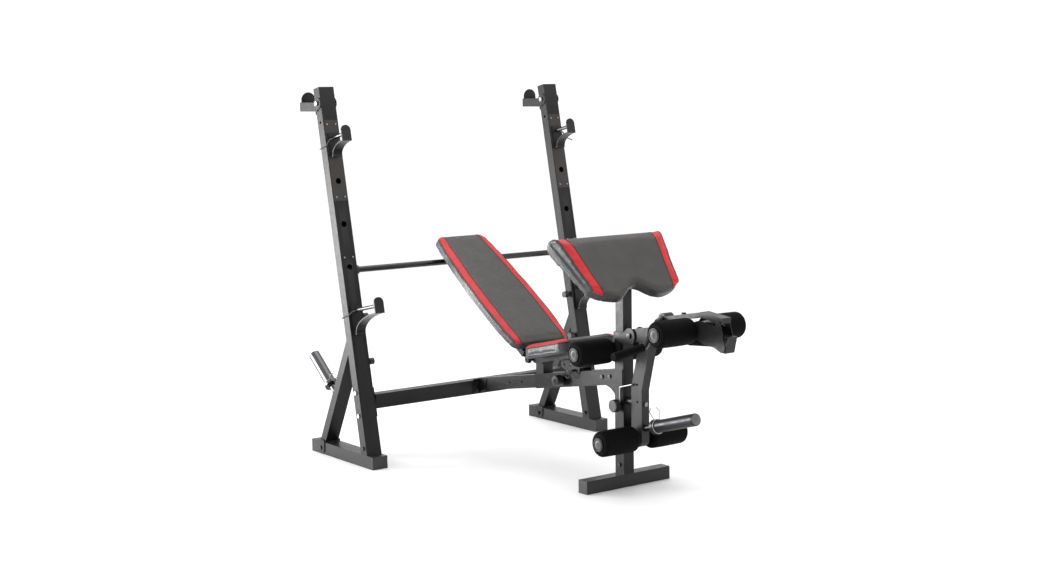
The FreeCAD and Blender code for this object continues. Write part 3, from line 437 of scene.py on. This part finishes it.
def cushion(node, body, to_world, board_z, wall_z, seam, rim=None, wrap=EVERYWHERE):
    """Padded board from a CAD cushion: crowned, seamed, with red stripes along its sides.

    to_world places the flat-lying cushion. Its board is below board_z and its side walls
    below wall_z, except before X = wrap, where the cover runs round a rolled edge. seam(x)
    and rim(x) are half widths: of the middle panel, and of the part inside the piping.
    Without a rim the piping runs where the stripes meet the side walls.
    """
    obj = cover_mesh(node, to_world, board_z)
    bm = bmesh.new()
    bm.from_mesh(obj.data)
    seam_loops = cut_along(bm, seam)
    wall_loops = cut_loops(bm, (0, 0, wall_z), (0, 0, -1), wrap)
    rim_loops = cut_along(bm, rim) if rim else []

    def on_top(p):
        return p.z > wall_z - 0.001 or p.x < wrap

    def striped(p):
        return abs(p.y) > seam(p.x)
    for f in bm.faces:
        c = f.calc_center_median()
        # walled faces take index 2, the vinyl with painted shade
        walled = not (c.z > wall_z or c.x < wrap) or (rim and abs(c.y) > rim(c.x))
        f.material_index = 2 if walled else (1 if striped(c) else 0)
        f.smooth = True
    for v in bm.verts:
        gap = abs(abs(v.co.y) - seam(v.co.x))
        if rim and on_top(v.co):
            gap = min(gap, abs(abs(v.co.y) - rim(v.co.x)))
        elif not rim:
            gap = min(gap, abs(v.co.z - wall_z))
        if gap < GROOVE_REACH:
            v.co -= v.normal * GROOVE_DEPTH * (1.0 - gap / GROOVE_REACH) ** 2
    obj.data.materials.clear()
    # index 2, the side walls, takes the vinyl with painted shade
    for m in ("pad_vinyl", "vinyl_red", "vinyl_side_painted_shade"):
        obj.data.materials.append(MAT[m])
    bm.to_mesh(obj.data)
    bm.free()
    obj.matrix_world = to_world
    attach(obj, body)
    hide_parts(node)
    cords = [(part, SEAM_CORD_R) for loop in seam_loops for part in stretches(loop, on_top)]
    if rim:
        cords += [(part, PIPING_R) for loop in rim_loops for part in stretches(loop, on_top)]
    else:
        cords += [(part, PIPING_R) for loop in wall_loops for part in stretches(loop, striped)]
    for i, (points, radius) in enumerate(cords):
        cord = tube_along(f"{node}_cord_{i}", points, radius, MAT["piping"])
        cord.matrix_world = to_world
        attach(cord, body)


def flat_frame(origin, along):
    """Matrix that puts a flat-built piece (X along it, Z out of it) at origin."""
    x = Vector((along[0], 0, along[1])).normalized()
    y = Vector((0, 1, 0))
    z = x.cross(y)
    if z.z < 0:
        y = -y
        z = x.cross(y)
    m = Matrix((x, y, z)).transposed().to_4x4()
    m.translation = Vector(origin)
    return m


def hinge_of(joint):
    """World position of a named joint."""
    found = [j for j in frame["joints"] if j["name"] == joint][0]
    return Vector(found["pos_m"])


# ---- the soft pieces ----------------------------------------------------------
BACK_TILT = math.radians(33.75)
SEAT_TILT = math.radians(12.3)
BACK_RIM = tuple((x, half - RIM_INSET) for x, half in (
    (0.033, 0.136), (0.12, 0.149), (0.30, 0.155), (0.48, 0.149), (0.64, 0.138), (0.754, 0.122)))
PREACHER_EDGE = Vector((0.304, 0, 0.968))   # middle of the arm pad's top edge
PREACHER_DOWN = (0.692, -0.722)
BACK_SEAM = ((0.03, 0.108), (0.30, 0.112), (0.48, 0.107), (0.64, 0.097), (0.76, 0.088))
SEAT_SEAM = ((0.0, 0.104), (0.4, 0.104))
PREACHER_SEAM = ((-0.1, 0.2295), (0.3, 0.1675))
PREACHER_RIM = ((-0.1, 0.275), (0.3, 0.203))


def make_cushions():
    hinge = hinge_of("backrest_tilt")
    place = flat_frame(hinge, (-math.cos(BACK_TILT), math.sin(BACK_TILT)))
    cushion("backrest_pad", "backrest", place, 0.0315, 0.0535, read_off(BACK_SEAM), read_off(BACK_RIM))
    place = flat_frame(hinge, (math.cos(SEAT_TILT), math.sin(SEAT_TILT)))
    cushion("seat_pad", "seat", place, 0.0065, 0.0435, read_off(SEAT_SEAM))
    place = flat_frame(PREACHER_EDGE, PREACHER_DOWN)
    cushion("preacher_pad", "curl_stand", place, -0.037, -0.012, read_off(PREACHER_SEAM),
            read_off(PREACHER_RIM), 0.06)


def arc(cr, cy, radius, start, end, steps=6):
    """Points of a profile arc: (radius, y) about (cr, cy), angles in degrees."""
    points = []
    for i in range(steps + 1):
        a = math.radians(start + (end - start) * i / steps)
        points.append((cr + radius * math.cos(a), cy + radius * math.sin(a)))
    return points


def foam_roll(node):
    """Foam sleeve: rounded shoulders, a little crown, ends drawn in at the tube."""
    lo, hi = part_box(node)
    centre, half, big = (lo + hi) / 2, (hi.y - lo.y) / 2, (hi.z - lo.z) / 2
    bore, round_r = 0.0130, 0.016
    profile = [(bore, -half + 0.004), (bore + 0.006, -half + 0.001)]
    profile += arc(big - round_r - 0.001, -half + round_r, round_r, -90, 0)
    profile += [(big - 0.0003, -half * 0.45), (big, 0.0), (big - 0.0003, half * 0.45)]
    profile += arc(big - round_r - 0.001, half - round_r, round_r, 0, 90)
    profile += [(bore + 0.006, half - 0.001), (bore, half - 0.004)]
    roll = lathe(node + "_foam", profile, centre, MAT["foam"], 72)
    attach(roll, node)
    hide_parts(node)


def end_disc(name, body, centre, outward, radius, material="grey_cap"):
    """Button let into a round end cap, with a raised lip round it."""
    profile = [(0.0, 0.0), (0.0, 0.0006), (radius * 0.93, 0.0010), (radius, 0.0002), (radius, 0.0)]
    disc = lathe(name, profile, (0, 0, 0), MAT[material], 40)
    disc.matrix_world = Matrix.Translation(centre) @ Vector((0, 1, 0)).rotation_difference(
        outward).to_matrix().to_4x4()
    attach(disc, body)


def cap_ring(name, body, centre, outward):
    """Raised moulded ring on a roll's end cap."""
    ring = lathe(name, arc(0.0215, 0.0, 0.0022, 0, 330, 11), (0, 0, 0), MAT["black_plastic"], 48)
    ring.matrix_world = Matrix.Translation(centre) @ Vector((0, 1, 0)).rotation_difference(
        outward).to_matrix().to_4x4()
    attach(ring, body)


def make_rolls():
    for roll, holder in (("knee", "bench"), ("thigh", "lever"), ("ankle", "lever")):
        for name, side in SIDES:
            node = f"{name}_{roll}_roll"
            lo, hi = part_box(node)
            foam_roll(node)
            end = Vector(((lo.x + hi.x) / 2, (hi.y if side > 0 else lo.y) + side * 0.005, (lo.z + hi.z) / 2))
            end_disc(node + "_button", holder, end, Vector((0, side, 0)), 0.0165)
            cap_ring(node + "_ring", holder, end, Vector((0, side, 0)))


def make_buttons():
    """Faces of the sleeve's end plug and of the beam's pull knob."""
    sleeve = [m for m in frame["record"]["mounts"] if m["name"] == "lever_weight_sleeve"][0]
    axis = Vector(sleeve["axis"])
    end = Vector(sleeve["pos_m"]) + axis * (sleeve["dims"]["length_mm"] / 2000 + 0.004)
    end_disc("sleeve_button", "lever", end, axis, 0.021)
    lo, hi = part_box("beam_pull_pin")
    end_disc("beam_knob_button", "beam_pull_pin", Vector(((lo.x + hi.x) / 2, lo.y, (lo.z + hi.z) / 2)),
             Vector((0, -1, 0)), 0.0175, "black_plastic")


# ---- studio -------------------------------------------------------------------
def make_camera():
    """Camera where the photographer stood, slightly rolled."""
    azimuth, elevation, roll = math.radians(53.351), math.radians(6.804), math.radians(-0.811)
    back = Vector((math.sin(azimuth) * math.cos(elevation), -math.cos(azimuth) * math.cos(elevation),
                   math.sin(elevation)))
    right = Vector((math.cos(azimuth), math.sin(azimuth), 0))
    up = back.cross(right)
    turned = right * math.cos(roll) + up * math.sin(roll)
    upright = up * math.cos(roll) - right * math.sin(roll)
    camera = bpy.data.objects.new("camera", bpy.data.cameras.new("camera"))
    camera.data.lens = 56.89
    camera.data.sensor_width = 36.0
    camera.data.clip_end = 100.0
    pose = Matrix((turned, upright, back)).transposed().to_4x4()
    pose.translation = Vector((5.21714, -4.06371, 1.53882))
    camera.matrix_world = pose
    bpy.context.scene.collection.objects.link(camera)
    bpy.context.scene.camera = camera


def area_light(name, location, target, size, power):
    data = bpy.data.lights.new(name, "AREA")
    data.shape = "DISK"
    data.size = size
    data.energy = power
    light = bpy.data.objects.new(name, data)
    light.location = location
    light.rotation_mode = "QUATERNION"
    light.rotation_quaternion = (Vector(target) - Vector(location)).to_track_quat("-Z", "Y")
    bpy.context.scene.collection.objects.link(light)


def make_studio():
    bm = bmesh.new()
    bmesh.ops.create_grid(bm, x_segments=1, y_segments=1, size=40)
    ground = Surface("floor_pale", (0.92, 0.92, 0.92), 0.7)
    ground.vary_roughness(ground.noise(3.0), 0.55, 0.65)
    floor = mesh_object("floor", bm, [ground.mat], False)
    floor.location.z = -0.0005
    world = bpy.data.worlds.new("studio")
    world.use_nodes = True
    world.node_tree.nodes["Background"].inputs["Color"].default_value = (1, 1, 1, 1)
    world.node_tree.nodes["Background"].inputs["Strength"].default_value = 1.12
    bpy.context.scene.world = world
    area_light("side", (-2.9, -2.95, 0.75), (0.44, 0.0, 0.5), 1.7, 175)
    area_light("top", (-0.5, 0.5, 4.5), (0, 0, 0.4), 3.5, 70)
    bpy.context.scene.view_settings.view_transform = "Standard"


make_camera()
finish_cad_nodes()
make_cushions()
make_rolls()
make_buttons()
make_studio()
